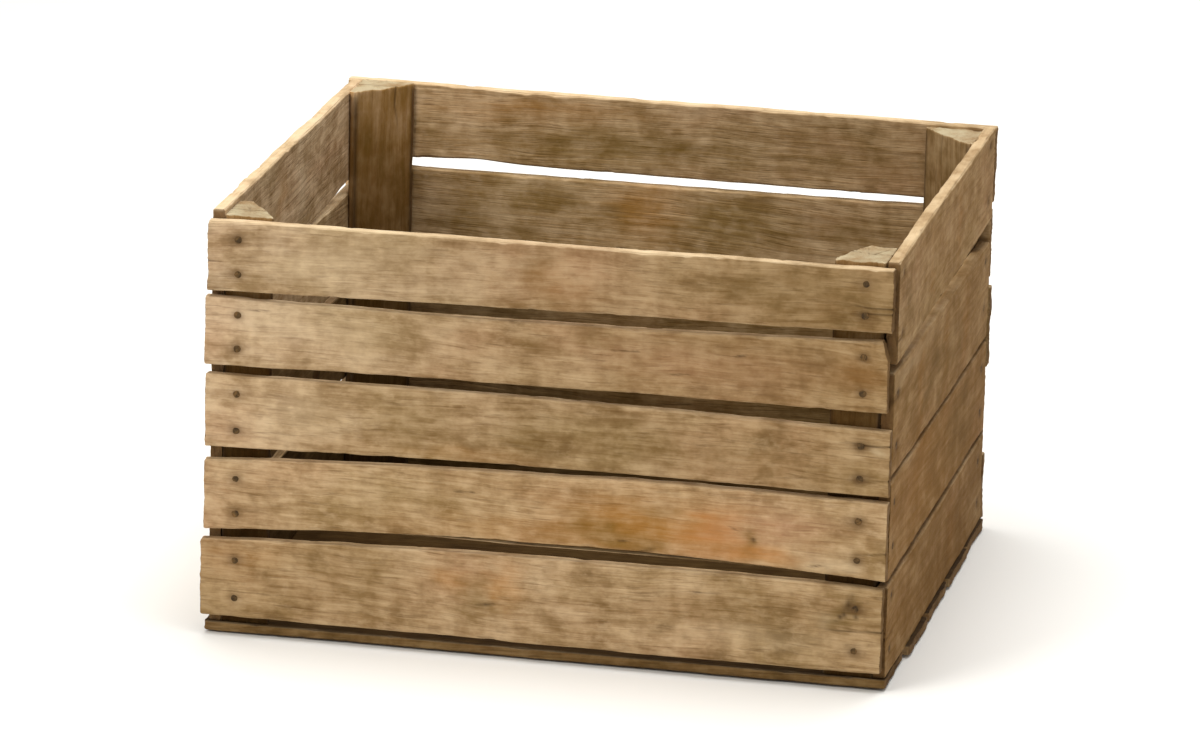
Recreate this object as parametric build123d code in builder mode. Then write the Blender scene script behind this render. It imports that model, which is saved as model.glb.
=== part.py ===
"""A slatted wooden apple crate: three-sided corner posts, sawn boards and wire nails.

The crate stands on z = 0 with +X along its long side, +Y towards its back and +Z up. Its origin is the
middle of its footprint. Every board has its own width and its own slight taper, as sawn crate boards do.
All sizes are in mm.
"""

from build123d import *
import os
from typing import NamedTuple

# Overall size, over the outer faces of the walls and from the underside to the rim.
LENGTH = 490.0
DEPTH = 420.0
HEIGHT = 310.0

BOARD = 9.0  # thickness of the wall boards
BOTTOM_BOARD = 7.0  # thickness of the bottom boards
FIT_GAP = 0.5  # end boards are cut this much short of the long walls at each end

# Wire nails with flat heads, driven just below the surface.
NAIL_LENGTH = 32.0
NAIL_RADIUS = 1.1
NAIL_POINT = 4.0
HEAD_RADIUS = 2.6
HEAD_THICKNESS = 0.9
HEAD_SUNK = 0.4
HOLE_RADIUS = 1.12
RECESS_RADIUS = 2.7
LONG_NAIL_INSET = 12.0  # from a post's outer corner to the long walls' nails in it
END_NAIL_INSET = 18.0  # the same, for the end boards' nails
NAIL_SHARE = 0.25  # of a board's width, from its edge to its nails
NAIL_SPACING = 4.0  # least height between two nails that cross in a post
NAIL_SHIFT = 1.0  # a nail that would cross another is moved up in steps of this

# The posts' outer corners, just inside the walls.
POST_X = LENGTH / 2 - BOARD
POST_Y = DEPTH / 2 - BOARD

LEFT, RIGHT = -1, 1  # the two ends of a board, as seen from outside its wall


class Plank(NamedTuple):
    """A board as seen from outside its wall: its two ends, then its lower and upper edge at each end.

    A crooked board's long edges are curved: each rise is how far that edge's middle is above a straight line.
    """

    left: float
    right: float
    low_left: float
    high_left: float
    low_right: float
    high_right: float
    low_rise: float = 0.0
    high_rise: float = 0.0

    def edges(self, side):
        """Lower and upper edge at one end."""
        return (self.low_left, self.high_left) if side == LEFT else (self.low_right, self.high_right)

    def nail_heights(self, side):
        """Where the two nails at one end go, measured across the board."""
        low, high = self.edges(side)
        inset = NAIL_SHARE * (high - low)
        return [low + inset, high - inset]


class Post(NamedTuple):
    """A corner post. Two sides lie flat on the walls, and a sloping one joins their blunt tips."""

    long_leg: float  # along the long wall
    end_leg: float  # along the end wall
    long_tip: float  # the long leg's thickness at its tip
    end_tip: float  # the end leg's thickness at its tip
    top: float  # height above the ground

    def section(self):
        """Corners of the section, measured from the post's outer corner."""
        long_end = [(self.long_leg, 0), (self.long_leg, self.long_tip)]
        return [(0, 0), *long_end, (self.end_tip, self.end_leg), (0, self.end_leg)]


class Corner(NamedTuple):
    """A corner of the crate: its two walls, which way it lies from the middle, and its post."""

    long_wall: str
    end_wall: str
    x_sign: int
    y_sign: int
    post: Post


class Wall(NamedTuple):
    """A wall's outer plane, its boards' thickness, its nails' sideways place, its boards from the top."""

    plane: Plane
    thickness: float
    nail_reach: float
    planks: list


# Outer planes. Local x runs to the right as seen from outside, and local y runs up.
FRONT_PLANE = Plane(origin=(0, -DEPTH / 2, 0), x_dir=(1, 0, 0), z_dir=(0, -1, 0))
RIGHT_PLANE = Plane(origin=(LENGTH / 2, 0, 0), x_dir=(0, 1, 0), z_dir=(1, 0, 0))
BACK_PLANE = Plane(origin=(0, DEPTH / 2, 0), x_dir=(-1, 0, 0), z_dir=(0, 1, 0))
LEFT_PLANE = Plane(origin=(-LENGTH / 2, 0, 0), x_dir=(0, -1, 0), z_dir=(-1, 0, 0))
UNDERSIDE = Plane(origin=(0, 0, 0), x_dir=(1, 0, 0), z_dir=(0, 0, -1))

END_HALF = POST_Y - FIT_GAP  # half the length of an end board between the long walls
OVERHANG = 249.0  # the furthest that any board reaches sideways
BOTTOM_HALF = 204.0  # half the width of the bottom: set back a little from the long walls' faces

FRONT_BOARDS = [
    Plank(-246.0, 243.5, 253.0, 303.5, 260.5, 306.0, 1.0, 0.0),
    Plank(-247.5, 241.5, 199.0, 248.5, 203.0, 255.0, 1.0, -4.0),
    Plank(-246.5, 244.5, 138.0, 191.5, 142.5, 190.0, 3.0, 2.0),
    Plank(-247.0, 244.5, 77.0, 129.0, 81.0, 137.5, 9.0, 5.0),
    Plank(-OVERHANG, 243.0, 13.0, 69.5, 13.0, 75.0, 0.0, 4.5),
]
BACK_BOARDS = [
    Plank(-246.0, 247.0, 252.0, 309.0, 252.0, HEIGHT),
    Plank(-244.5, 248.0, 193.5, 245.5, 192.0, 245.0),
    Plank(-246.0, 246.0, 125.0, 187.0, 126.0, 186.0),
    Plank(-243.5, 249.0, 64.0, 118.0, 63.0, 119.0),
    Plank(-245.0, 246.5, BOTTOM_BOARD, 57.5, BOTTOM_BOARD, 56.5),
]
RIGHT_END_BOARDS = [
    Plank(-END_HALF, END_HALF, 237.0, HEIGHT, 240.0, HEIGHT),
    Plank(-END_HALF, END_HALF, 154.0, 230.0, 149.5, 222.5),
    Plank(-END_HALF, END_HALF, 79.0, 150.0, 78.0, 145.5),
    Plank(-END_HALF, END_HALF, BOTTOM_BOARD, 75.0, BOTTOM_BOARD, 74.0),
]
LEFT_END_BOARDS = [
    Plank(-END_HALF, END_HALF, 243.0, HEIGHT, 236.0, HEIGHT, -3.5, 0.0),
    Plank(-END_HALF, END_HALF, 163.5, 231.0, 166.0, 232.0, 0.0, 2.5),
    Plank(-END_HALF, END_HALF, 87.0, 157.0, 85.5, 159.5),
    Plank(-END_HALF, END_HALF, BOTTOM_BOARD, 80.0, BOTTOM_BOARD, 78.5),
]
# On the underside, local y runs towards the front: the first board is the front one.
BOTTOM_BOARDS = [
    Plank(-247.0, 245.5, 133.0, BOTTOM_HALF, 134.0, BOTTOM_HALF),
    Plank(-247.0, OVERHANG, 46.0, 125.0, 47.5, 123.0),
    Plank(-246.0, 248.0, -40.5, 40.0, -39.0, 41.0),
    Plank(-248.0, 248.5, -122.0, -46.0, -124.0, -45.0),
    Plank(-246.5, 247.0, -BOTTOM_HALF, -134.0, -BOTTOM_HALF, -132.5),
]

LONG_REACH = POST_X - LONG_NAIL_INSET
END_REACH = POST_Y - END_NAIL_INSET
BOTTOM_REACH = LENGTH / 2 - BOARD / 2  # into the lower edges of the lowest end boards

WALLS = {
    "front": Wall(FRONT_PLANE, BOARD, LONG_REACH, FRONT_BOARDS),
    "right_end": Wall(RIGHT_PLANE, BOARD, END_REACH, RIGHT_END_BOARDS),
    "back": Wall(BACK_PLANE, BOARD, LONG_REACH, BACK_BOARDS),
    "left_end": Wall(LEFT_PLANE, BOARD, END_REACH, LEFT_END_BOARDS),
    "bottom": Wall(UNDERSIDE, BOTTOM_BOARD, BOTTOM_REACH, BOTTOM_BOARDS),
}

# The posts are sawn from scrap, so no two have the same section.
CORNERS = {
    "front_right": Corner("front", "right_end", 1, -1, Post(36.0, 46.0, 8.0, 20.0, 308.0)),
    "back_right": Corner("back", "right_end", 1, 1, Post(42.0, 42.0, 4.0, 4.0, 306.0)),
    "back_left": Corner("back", "left_end", -1, 1, Post(40.0, 42.0, 4.0, 5.0, HEIGHT)),
    "front_left": Corner("front", "left_end", -1, -1, Post(35.0, 42.0, 3.0, 10.0, 306.0)),
}
# Which end of each wall's boards is at each corner, as seen from outside that wall.
SIDE_AT = {
    ("front", "front_right"): RIGHT,
    ("front", "front_left"): LEFT,
    ("back", "back_right"): LEFT,
    ("back", "back_left"): RIGHT,
    ("right_end", "front_right"): LEFT,
    ("right_end", "back_right"): RIGHT,
    ("left_end", "front_left"): RIGHT,
    ("left_end", "back_left"): LEFT,
}


def corner_at(wall_name, side):
    """The corner where a wall's boards end on that side."""
    return next(corner for (wall, corner), at in SIDE_AT.items() if wall == wall_name and at == side)


def long_wall_heights(corner):
    """Heights of the nails that the long wall drives into this corner's post."""
    long_wall = CORNERS[corner].long_wall
    side = SIDE_AT[long_wall, corner]
    return [height for plank in WALLS[long_wall].planks for height in plank.nail_heights(side)]


def nail_spots(wall_name, plank):
    """Where a board's nails go, as (sideways, up) on its wall's plane.

    The end boards' nails cross the long walls' nails inside a post, so they are moved up to miss them.
    """
    wall = WALLS[wall_name]
    spots = []
    for side in (LEFT, RIGHT):
        taken = long_wall_heights(corner_at(wall_name, side)) if wall_name.endswith("end") else []
        for height in plank.nail_heights(side):
            while any(abs(height - other) < NAIL_SPACING for other in taken):
                height += NAIL_SHIFT
            spots.append((side * wall.nail_reach, height))
    return spots


def nail_places(wall_name):
    """The place of each nail's head in a wall, pointing outwards."""
    wall = WALLS[wall_name]
    return [
        wall.plane.location * Location((across, up, -HEAD_SUNK))
        for plank in wall.planks
        for across, up in nail_spots(wall_name, plank)
    ]


def bottom_nails_into(wall_name, plank):
    """The bottom boards' nails that go up into this board: only the lowest board of an end takes any."""
    if not wall_name.endswith("end") or plank is not WALLS[wall_name].planks[-1]:
        return []
    side = RIGHT if wall_name == "right_end" else LEFT
    return [place for place in nail_places("bottom") if place.position.X * side > 0]


def draw_long_edge(start, end, rise):
    """One long edge of a board's outline."""
    if rise:
        middle = ((start[0] + end[0]) / 2, (start[1] + end[1]) / 2 + rise)
        ThreePointArc(start, middle, end)
    else:
        Line(start, end)


def make_board(name, wall_name, plank):
    """A sawn board with a sunk hole at each of its own nails."""
    wall = WALLS[wall_name]
    bottom_nails = bottom_nails_into(wall_name, plank)
    with BuildPart() as board:
        with BuildSketch(wall.plane):
            with BuildLine():
                low_left, high_left = (plank.left, plank.low_left), (plank.left, plank.high_left)
                low_right, high_right = (plank.right, plank.low_right), (plank.right, plank.high_right)
                draw_long_edge(low_left, low_right, plank.low_rise)
                Line(low_right, high_right)
                draw_long_edge(high_left, high_right, plank.high_rise)
                Line(high_left, low_left)
            make_face()
        extrude(amount=-wall.thickness)
        spots = nail_spots(wall_name, plank)
        with Locations(*[wall.plane.location * Location((across, up, 0)) for across, up in spots]):
            CounterBoreHole(HOLE_RADIUS, RECESS_RADIUS, HEAD_SUNK + HEAD_THICKNESS, depth=NAIL_LENGTH)
        if bottom_nails:
            with Locations(*bottom_nails):
                Hole(HOLE_RADIUS, depth=NAIL_LENGTH)
    board.part.label = name
    export_step(board.part, f"parts/{name}.step")


def make_post(name, corner):
    """A three-sided corner post with a hole for each nail of the two walls it holds together."""
    long_wall, end_wall, x_sign, y_sign, shape = CORNERS[corner]
    outline = [(x_sign * (POST_X - x), y_sign * (POST_Y - y)) for x, y in shape.section()]
    with BuildPart() as post:
        with BuildSketch(Plane.XY.offset(BOTTOM_BOARD)):
            with BuildLine():
                Polyline(*outline, close=True)
            make_face()
        extrude(amount=shape.top - BOTTOM_BOARD)
        for wall_name in (long_wall, end_wall):
            plane, side = WALLS[wall_name].plane, SIDE_AT[wall_name, corner]
            own = [
                place
                for place in nail_places(wall_name)
                if plane.to_local_coords(place.position).X * side > 0
            ]
            with Locations(*own):
                Hole(HOLE_RADIUS, depth=NAIL_LENGTH)
    post.part.label = name
    export_step(post.part, f"parts/{name}.step")


def make_nail():
    """A wire nail with its head's top at the origin, pointing down."""
    with BuildPart() as nail:
        with BuildSketch(Plane.XZ):
            with BuildLine():
                Polyline(
                    (0, 0),
                    (HEAD_RADIUS, 0),
                    (HEAD_RADIUS, -HEAD_THICKNESS),
                    (NAIL_RADIUS, -HEAD_THICKNESS),
                    (NAIL_RADIUS, NAIL_POINT - NAIL_LENGTH),
                    (0, -NAIL_LENGTH),
                    close=True,
                )
            make_face()
        revolve(axis=Axis.Z)
    return nail.part


def make_nails(name, wall_name, nail):
    """All the nails of one wall, as separate solids."""
    with BuildPart() as nails:
        with Locations(*nail_places(wall_name)):
            add(nail)
    nails.part.label = name
    export_step(nails.part, f"parts/{name}.step")


os.makedirs("parts", exist_ok=True)

for wall_name, wall in WALLS.items():
    for row, plank in enumerate(wall.planks, start=1):
        make_board(f"{wall_name}_board_{row}", wall_name, plank)

for corner in CORNERS:
    make_post(f"corner_post_{corner}", corner)

nail = make_nail()
for wall_name in WALLS:
    make_nails(f"nails_{wall_name}", wall_name, nail)
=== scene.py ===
"""The looks of the wooden apple crate: worn sawn boards and posts, rusted nails, and a studio to show them.

Every wooden piece is rebuilt between the two ends of its CAD solid as a dense skin of points. Wear, cracks,
splits, knots and nail dents are moved into that skin, and what caused them is kept as attributes that the
wood material reads. Sizes are in metres, in the crate's own frame, unless a comment says otherwise.
"""

import math
import zlib
from functools import partial
from types import SimpleNamespace
from typing import NamedTuple

import bpy
import numpy as np
from mathutils import Matrix, Vector


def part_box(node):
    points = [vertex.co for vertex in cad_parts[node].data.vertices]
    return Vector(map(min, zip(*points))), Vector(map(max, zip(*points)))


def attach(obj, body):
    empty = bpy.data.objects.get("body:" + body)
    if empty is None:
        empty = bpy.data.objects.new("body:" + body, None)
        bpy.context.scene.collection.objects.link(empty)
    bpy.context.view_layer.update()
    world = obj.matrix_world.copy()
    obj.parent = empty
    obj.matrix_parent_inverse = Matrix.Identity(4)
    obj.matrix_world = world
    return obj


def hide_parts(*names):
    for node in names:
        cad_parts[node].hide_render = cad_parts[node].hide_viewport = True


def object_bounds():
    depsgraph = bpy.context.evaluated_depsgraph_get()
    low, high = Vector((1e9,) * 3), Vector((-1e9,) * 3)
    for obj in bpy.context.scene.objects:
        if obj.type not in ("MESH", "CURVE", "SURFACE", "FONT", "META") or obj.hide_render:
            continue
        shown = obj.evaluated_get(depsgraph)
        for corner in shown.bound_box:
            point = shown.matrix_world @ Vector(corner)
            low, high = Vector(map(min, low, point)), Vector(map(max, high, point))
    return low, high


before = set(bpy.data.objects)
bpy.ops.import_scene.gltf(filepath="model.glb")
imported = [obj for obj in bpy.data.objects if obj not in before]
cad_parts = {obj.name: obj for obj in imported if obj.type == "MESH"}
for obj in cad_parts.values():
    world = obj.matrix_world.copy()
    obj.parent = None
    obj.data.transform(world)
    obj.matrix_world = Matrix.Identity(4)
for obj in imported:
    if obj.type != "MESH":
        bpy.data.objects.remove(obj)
cad_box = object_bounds()

MM = 0.001

# ---- What each board looks like ----

LOW, HIGH = -1, 1  # the two ends of a piece along its length, and the two edges of a board
NOT_GREY = (0.0, 0.0, 0.0)


class Knot(NamedTuple):
    """A knot at a place on a board, in mm from its middle: along, then across."""

    along: float
    across: float
    radius: float


class Stain(NamedTuple):
    """A soft patch of colour in the wood. Its place is given as a knot's, and its size is in mm."""

    kind: str
    along: float
    across: float
    length: float
    width: float
    strength: float


STAIN_KINDS = ("orange", "olive", "pink", "pale")
orange, olive, pink, pale = (partial(Stain, kind) for kind in STAIN_KINDS)


class Break(NamedTuple):
    """A corner of a board that has split off."""

    end: int
    edge: int
    along: float
    across: float


class Notch(NamedTuple):
    """A bite out of a long edge."""

    along: float
    edge: int
    length: float
    depth: float


class Crack(NamedTuple):
    """A short dark scar in a face: its middle, how far it reaches along and across, and its width."""

    along: float
    across: float
    reach_along: float
    reach_across: float
    width: float


class Look(NamedTuple):
    """How one piece differs from the next. Shade and grey are given at its low end, middle and high end.
    Shade is the wood's own lightness, and on some pieces it also holds painted shade or painted light.
    """

    shade: tuple = (1.0, 1.0, 1.0)
    grey: tuple = (0.35, 0.3, 0.3)
    knots: tuple = ()
    stains: tuple = ()
    breaks: tuple = ()
    notches: tuple = ()
    cracks: tuple = ()
    lift: tuple = (0.0, 0.0)  # how far the low and high end stand off the post, in mm
    rim: float = 0.3  # how pale its worn edges are, which is partly a painted highlight where they face up
    inside: float = 0.8  # how light its inner face is painted, against its outer one: painted shade inside the crate


def soaked_and_shaded(olive_strength, orange_strength, width=90):
    """The stains of a short board or a post that is darker and browner all over; on the right end boards and
    the front posts this is partly painted shade.
    """
    return olive(0, 0, 300, width, olive_strength), orange(0, 0, 300, width, orange_strength)


LOOKS = {
    "front_board_1": Look(
        shade=(1.18, 0.94, 0.8),
        grey=(0.62, 0.45, 0.08),
        stains=(
            olive(200, 0, 80, 40, 0.3),
            olive(-4, 8, 13, 17, 0.55),
            orange(8, 0, 20, 14, 0.3),
            pink(10, 4, 55, 26, 0.5),
            olive(175, 4, 60, 20, 0.5),
            olive(-196, -17, 50, 6, 0.35),
            olive(-60, -20, 60, 5, 0.35),
            olive(-100, 6, 26, 16, 0.25),
            pale(-150, 2, 60, 18, 0.3),
        ),
        rim=1.0,
    ),
    "front_board_2": Look(
        shade=(1.2, 0.89, 0.82),
        grey=(0.6, 0.35, 0.08),
        stains=(
            olive(200, 0, 80, 40, 0.3),
            olive(-8, 4, 16, 7, 0.5),
            olive(36, 12, 12, 7, 0.4),
            pink(110, 2, 90, 24, 0.7),
            olive(120, 14, 50, 9, 0.4),
            olive(-95, 6, 18, 12, 0.3),
            orange(225, 4, 22, 14, 0.3),
            pale(-165, 4, 60, 16, 0.3),
        ),
        breaks=(Break(HIGH, HIGH, 5, 15),),
        cracks=(
            Crack(60, 6, 10, 0.5, 0.4),
            Crack(96, -8, 8, 0.6, 0.45),
            Crack(-205, 14, 7, 0.4, 0.5),
            Crack(140, 9, 5, 1.0, 0.4),
        ),
    ),
    "front_board_3": Look(
        shade=(1.12, 0.88, 0.9),
        grey=(0.45, 0.35, 0.15),
        stains=(
            olive(190, 0, 90, 40, 0.2),
            pale(-180, 4, 26, 18, 0.35),
            pale(239, 9, 6, 4, 0.9),
            olive(-98, -4, 22, 16, 0.5),
            olive(-15, 0, 20, 18, 0.4),
            orange(-60, -18, 60, 6, 0.25),
            olive(60, 6, 40, 14, 0.4),
            olive(120, -4, 40, 12, 0.3),
        ),
    ),
    "front_board_4": Look(
        shade=(1.04, 1.0, 1.06),
        grey=(0.3, 0.14, 0.22),
        stains=(
            orange(66, -3, 50, 19, 1.0),
            olive(62, -5, 44, 14, 0.5),
            olive(46, -9, 12, 8, 1.0),
            olive(74, -15, 14, 6, 1.0),
            olive(84, 10, 14, 7, 0.7),
            olive(24, -2, 10, 9, 0.5),
            orange(122, -1, 26, 15, 0.9),
            orange(160, -15, 22, 7, 0.9),
            olive(151, -4, 6, 9, 1.0),
            pink(124, 0, 26, 14, 0.6),
            pink(172, 4, 40, 20, 0.75),
            orange(-30, -12, 60, 10, 0.25),
            olive(-70, 8, 60, 12, 0.25),
            pale(196, -18, 12, 6, 0.5),
            pale(213, -19, 8, 5, 0.5),
        ),
        notches=(Notch(71, LOW, 7, 4.5),),
        cracks=(
            Crack(73, -21, 7, 4, 1.5),
            Crack(60, -13, 5, 0.5, 0.6),
            Crack(151, -3, 2, -4.5, 0.8),
            Crack(137, 3, 3, -1.5, 0.5),
            Crack(-55, 13, 9, 0.3, 0.4),
            Crack(197, -19, 6, 1, 0.5),
        ),
    ),
    "front_board_5": Look(
        shade=(0.9, 1.1, 0.92),
        grey=(0.15, 0.3, 0.15),
        cracks=(
            Crack(222, 17, 2.5, 7, 2.2),
            Crack(217, 8, 3, 3, 1.2),
            Crack(228, 8, 1.5, -4, 0.7),
            Crack(-38, -6, 7, 1, 0.8),
            Crack(118, 17, 12, 0.5, 0.5),
        ),
        stains=(
            olive(221, 17, 8, 12, 1.0),
            olive(216, 6, 6, 8, 0.8),
            olive(204, 4, 10, 5, 0.5),
            olive(-43, -3, 13, 14, 0.9),
            orange(-62, 10, 16, 8, 0.45),
            orange(-26, 8, 9, 16, 0.55),
            olive(-135, 2, 40, 18, 0.4),
            olive(118, 6, 60, 14, 0.45),
            orange(-215, 12, 30, 10, 0.25),
            pale(208, 4, 9, 6, 0.4),
            pale(150, -12, 60, 8, 0.3),
        ),
    ),
    # Painted light: back boards 1 and 2 are painted lighter, for the light that falls on the upper inside of
    # the crate.
    "back_board_1": Look(
        shade=(1.5, 1.3, 1.02),
        grey=(0.1, 0.2, 0.15),
        stains=(
            olive(0, 0, 400, 60, 0.3),
            orange(-110, 16, 90, 10, 0.4),
            olive(-40, -8, 150, 13, 0.6),
            olive(120, 0, 80, 18, 0.45),
        ),
        notches=(Notch(-150, LOW, 60, 2.2),),
        rim=1.0,
        inside=1.0,
    ),
    "back_board_2": Look(
        shade=(1.45, 1.36, 1.08),
        grey=(0.2, 0.15, 0.12),
        stains=(
            olive(0, 0, 400, 60, 0.35),
            orange(-15, 8, 26, 22, 0.75),
            olive(-130, 0, 90, 22, 0.6),
            olive(90, 2, 110, 22, 0.55),
        ),
        inside=1.0,
    ),
    "back_board_3": Look(stains=(olive(0, 0, 240, 30, 0.3),), inside=0.72),
    "back_board_4": Look(
        shade=(1.0, 0.9, 1.05),
        knots=(Knot(-96, 6, 5.0),),
        stains=(olive(60, 0, 160, 20, 0.3),),
        inside=0.62,
    ),
    "back_board_5": Look(shade=(0.9, 0.95, 0.9), inside=0.4),
    # Painted shade: the right end boards are painted darker and browner than the rest, as that side of the
    # crate lies in shade; their heavy stains are partly that painted shade.
    "right_end_board_1": Look(
        shade=(0.88, 0.9, 0.86),
        grey=(0.1, 0.05, 0.05),
        stains=soaked_and_shaded(0.6, 0.3)
        + (
            olive(-150, -10, 50, 18, 0.35),
            pink(20, 6, 120, 20, 0.35),
            orange(-60, -6, 6, 26, 0.3),
            orange(48, 0, 7, 28, 0.35),
        ),
        lift=(1.4, 0.6),
        rim=0.8,
    ),
    "right_end_board_2": Look(
        shade=(0.8, 0.78, 0.72),
        grey=NOT_GREY,
        stains=soaked_and_shaded(0.8, 0.6)
        + (
            orange(-92, 2, 9, 34, 0.55),
            orange(10, 4, 8, 30, 0.5),
            orange(96, -4, 12, 30, 0.4),
            olive(-20, 0, 90, 20, 0.35),
            pale(-130, 30, 90, 6, 0.35),
        ),
    ),
    "right_end_board_3": Look(
        shade=(0.76, 0.74, 0.68),
        grey=NOT_GREY,
        stains=soaked_and_shaded(0.85, 0.9)
        + (
            orange(-70, 8, 34, 24, 0.6),
            orange(20, 0, 10, 30, 0.45),
            olive(90, 0, 60, 22, 0.4),
        ),
    ),
    "right_end_board_4": Look(
        shade=(0.74, 0.7, 0.66),
        grey=NOT_GREY,
        stains=soaked_and_shaded(0.85, 0.8) + (orange(60, 0, 14, 26, 0.3),),
    ),
    "left_end_board_1": Look(
        shade=(1.3, 1.3, 1.3),
        stains=(
            olive(0, 0, 300, 60, 0.25),
            pink(60, 0, 90, 20, 0.15),
            orange(-40, 0, 14, 20, 0.35),
            pale(20, 0, 16, 20, 0.4),
        ),
        rim=1.0,
        inside=1.0,
    ),
    "left_end_board_2": Look(shade=(1.1, 1.15, 1.15), rim=1.0, inside=0.9),
    "left_end_board_3": Look(shade=(0.9, 1.0, 1.0), knots=(Knot(74, -9, 4.5),), inside=0.45),
    "left_end_board_4": Look(inside=0.25),
    # Painted shade: this board is painted dark, for the shade under front_board_5.
    "bottom_board_1": Look(
        shade=(0.6, 0.52, 0.46),
        grey=(0.1, 0.0, 0.0),
        stains=(olive(0, 0, 300, 90, 0.4),),
        inside=0.3,
    ),
    "bottom_board_2": Look(
        shade=(0.9, 0.8, 0.8),
        knots=(Knot(-40, 14, 5.0), Knot(150, -20, 4.0)),
        inside=0.2,
    ),
    "bottom_board_3": Look(shade=(0.85, 0.9, 0.8), inside=0.2),
    "bottom_board_4": Look(shade=(0.9, 0.95, 0.8), stains=(olive(30, 0, 120, 26, 0.4),), inside=0.2),
    "bottom_board_5": Look(shade=(0.85, 0.8, 0.85), inside=0.2),
    # Painted shade: the posts are painted dark low down and light at the top, for the shade the walls cast on
    # their lower parts; their stains make that painted shade browner.
    "corner_post_front_left": Look(
        shade=(0.16, 0.2, 0.8),
        grey=(0.0, 0.0, 0.1),
        stains=soaked_and_shaded(0.5, 0.4, width=60),
        rim=1.0,
    ),
    "corner_post_front_right": Look(
        shade=(0.18, 0.22, 0.8),
        grey=(0.0, 0.0, 0.1),
        stains=soaked_and_shaded(0.5, 0.4, width=60),
        rim=1.0,
    ),
    "corner_post_back_left": Look(
        shade=(0.1, 0.6, 1.85),
        grey=NOT_GREY,
        stains=(olive(60, 0, 200, 60, 0.75), orange(90, 0, 160, 60, 0.6)),
        rim=1.0,
    ),
    "corner_post_back_right": Look(
        shade=(0.25, 0.5, 1.1),
        grey=(0.0, 0.1, 0.1),
        stains=(olive(0, 0, 300, 60, 0.5),),
        rim=1.0,
    ),
}

# ---- Noise ----

SEED_COUNT = 100_000
HASH_STEPS = np.array([374761393, 668265263, 2147483629])
HASH_SEED_STEP = 1274126177
HASH_ROUNDS = ((15, 2246822519), (13, 3266489917))  # shift, factor
HASH_LAST_SHIFT = 16
HASH_MASK = 0xFFFFFFFF


def seed_of(name):
    """A number that is always the same for a name. Each draw and pattern of a piece adds its own to it."""
    return zlib.crc32(name.encode()) % SEED_COUNT


def lattice(cells, seed):
    """A fixed random value from -1 to 1 for each whole-number place."""
    mixed = (cells @ HASH_STEPS + seed * HASH_SEED_STEP) & HASH_MASK
    for shift, factor in HASH_ROUNDS:
        mixed = ((mixed ^ (mixed >> shift)) * factor) & HASH_MASK
    mixed ^= mixed >> HASH_LAST_SHIFT
    return mixed / (HASH_MASK / 2) - 1


def noise(seed, *coordinates):
    """Smooth noise from -1 to 1 over up to three coordinates."""
    flat = [np.ravel(np.asarray(c, float)) for c in np.broadcast_arrays(*coordinates)]
    while len(flat) < 3:
        flat.append(np.zeros_like(flat[0]))
    places = np.stack(flat, axis=1)
    cells = np.floor(places).astype(np.int64)
    part = places - cells
    part = part * part * (3 - 2 * part)
    total = np.zeros(len(places))
    for corner in np.ndindex(2, 2, 2):
        share = np.prod(np.where(np.array(corner), part, 1 - part), axis=1)
        total += share * lattice(cells + np.array(corner), seed)
    return total


# ---- Where a piece is: its own axes and the outlines of its two ends, read from its CAD node ----

SAME_PLACE = 0.01 * MM  # points closer than this along a piece are on the same end of it
FACE_BAND = 0.1 * MM  # points this close to a board's outer or inner side are on that face
CURVE_SHARE = 0.75  # the share of a board's half length in which its edges' curves are read


class Place(NamedTuple):
    """A piece's middle, its axes (along, across, outwards) and its outline at the low and the high end.

    The rises are how far the middles of its two long edges are above a straight line.
    """

    middle: np.ndarray
    axes: np.ndarray
    half_length: float
    low_outline: np.ndarray
    high_outline: np.ndarray
    rises: tuple


def node_points(node):
    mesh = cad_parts[node].data
    points = np.zeros(len(mesh.vertices) * 3, np.float32)
    mesh.vertices.foreach_get("co", points)
    return points.reshape(-1, 3).astype(float)


def outline_of(points):
    """The corners of an end face, in order round it."""
    corners = np.unique(np.round(points, 6), axis=0)
    spokes = corners - corners.mean(axis=0)
    return corners[np.argsort(np.arctan2(spokes[:, 1], spokes[:, 0]))]


def edge_rise(local, half, ends, edge):
    """How far a long edge's middle is above a straight line, from the points that its curve was cut into.

    Points between the two faces are left out: they belong to nail holes.
    """
    at_low, at_high = (edge * np.max(outline[:, 0] * edge) for outline in ends)
    share = local[:, 0] / half
    on_face = np.abs(local[:, 2]) > np.abs(local[:, 2]).max() - FACE_BAND
    chosen = (np.abs(share) < CURVE_SHARE) & (local[:, 1] * edge > 0) & on_face
    if not chosen.any():
        return 0.0
    straight = np.interp(share[chosen], [-1, 1], [at_low, at_high])
    return float(np.median((local[chosen, 1] - straight) / (1 - share[chosen] ** 2)))


def place_of(node):
    low, high = (np.array(corner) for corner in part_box(node))
    middle, size = (low + high) / 2, high - low
    thin, wide, long = np.argsort(size)
    axes = np.zeros((3, 3))
    axes[0, long] = 1
    axes[1, wide] = 1
    crate_middle = np.array((cad_box[0] + cad_box[1]) / 2)
    axes[2, thin] = math.copysign(1, (middle - crate_middle)[thin])
    local = (node_points(node) - middle) @ axes.T
    half = size[long] / 2
    ends = []
    for side in (LOW, HIGH):
        at_end = np.abs(local[:, 0] - side * half) < SAME_PLACE
        ends.append(outline_of(local[at_end][:, 1:]))
    rises = (0.0, 0.0)
    if "_board_" in node:
        rises = (edge_rise(local, half, ends, LOW), edge_rise(local, half, ends, HIGH))
    return Place(middle, axes, half, *ends, rises)


# The walls, and which way each one's nail heads face.
OUTWARDS = {
    "front": (0, -1, 0),
    "back": (0, 1, 0),
    "left_end": (-1, 0, 0),
    "right_end": (1, 0, 0),
    "bottom": (0, 0, -1),
}
HEAD_BAND = 0.05 * MM  # points this close to the outermost one are on a nail's head
HEAD_REACH = 6 * MM  # more than the width of a head, and less than the distance between two


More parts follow.
